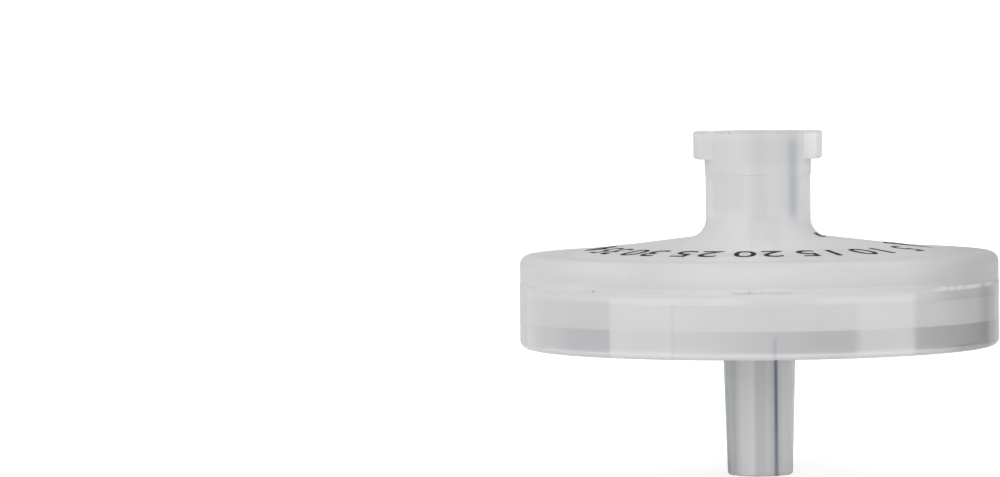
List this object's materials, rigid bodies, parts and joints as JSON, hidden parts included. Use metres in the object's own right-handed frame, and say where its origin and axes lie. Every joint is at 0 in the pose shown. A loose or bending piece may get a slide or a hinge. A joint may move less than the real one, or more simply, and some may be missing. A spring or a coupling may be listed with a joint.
{
  "type": "syringe filter",
  "caption": "Disc-shaped membrane filter with a female Luer lock inlet on top and a male Luer slip outlet below.",
  "frame": {"origin": "centre of the outlet spigot's tip, the lowest point", "axes": "+Z along the flow axis from the outlet to the inlet; the two lugs of the inlet lie along X; the gate mark is towards +Y"},
  "size_m": [0.029, 0.029, 0.0208],
  "materials": {
    "inlet_polypropylene": "natural translucent, milky, satin moulded surface",
    "outlet_polypropylene": "natural translucent, clearer than the inlet shell, gloss moulded surface",
    "membrane_ptfe": "opaque white, fine matte",
    "black_ink": "thin pad-printed ink, satin"
  },
  "bodies": {
    "root": {"inlet_shell": "inlet_polypropylene", "membrane": "membrane_ptfe", "outlet_shell": "outlet_polypropylene"}
  },
  "joints": []
}
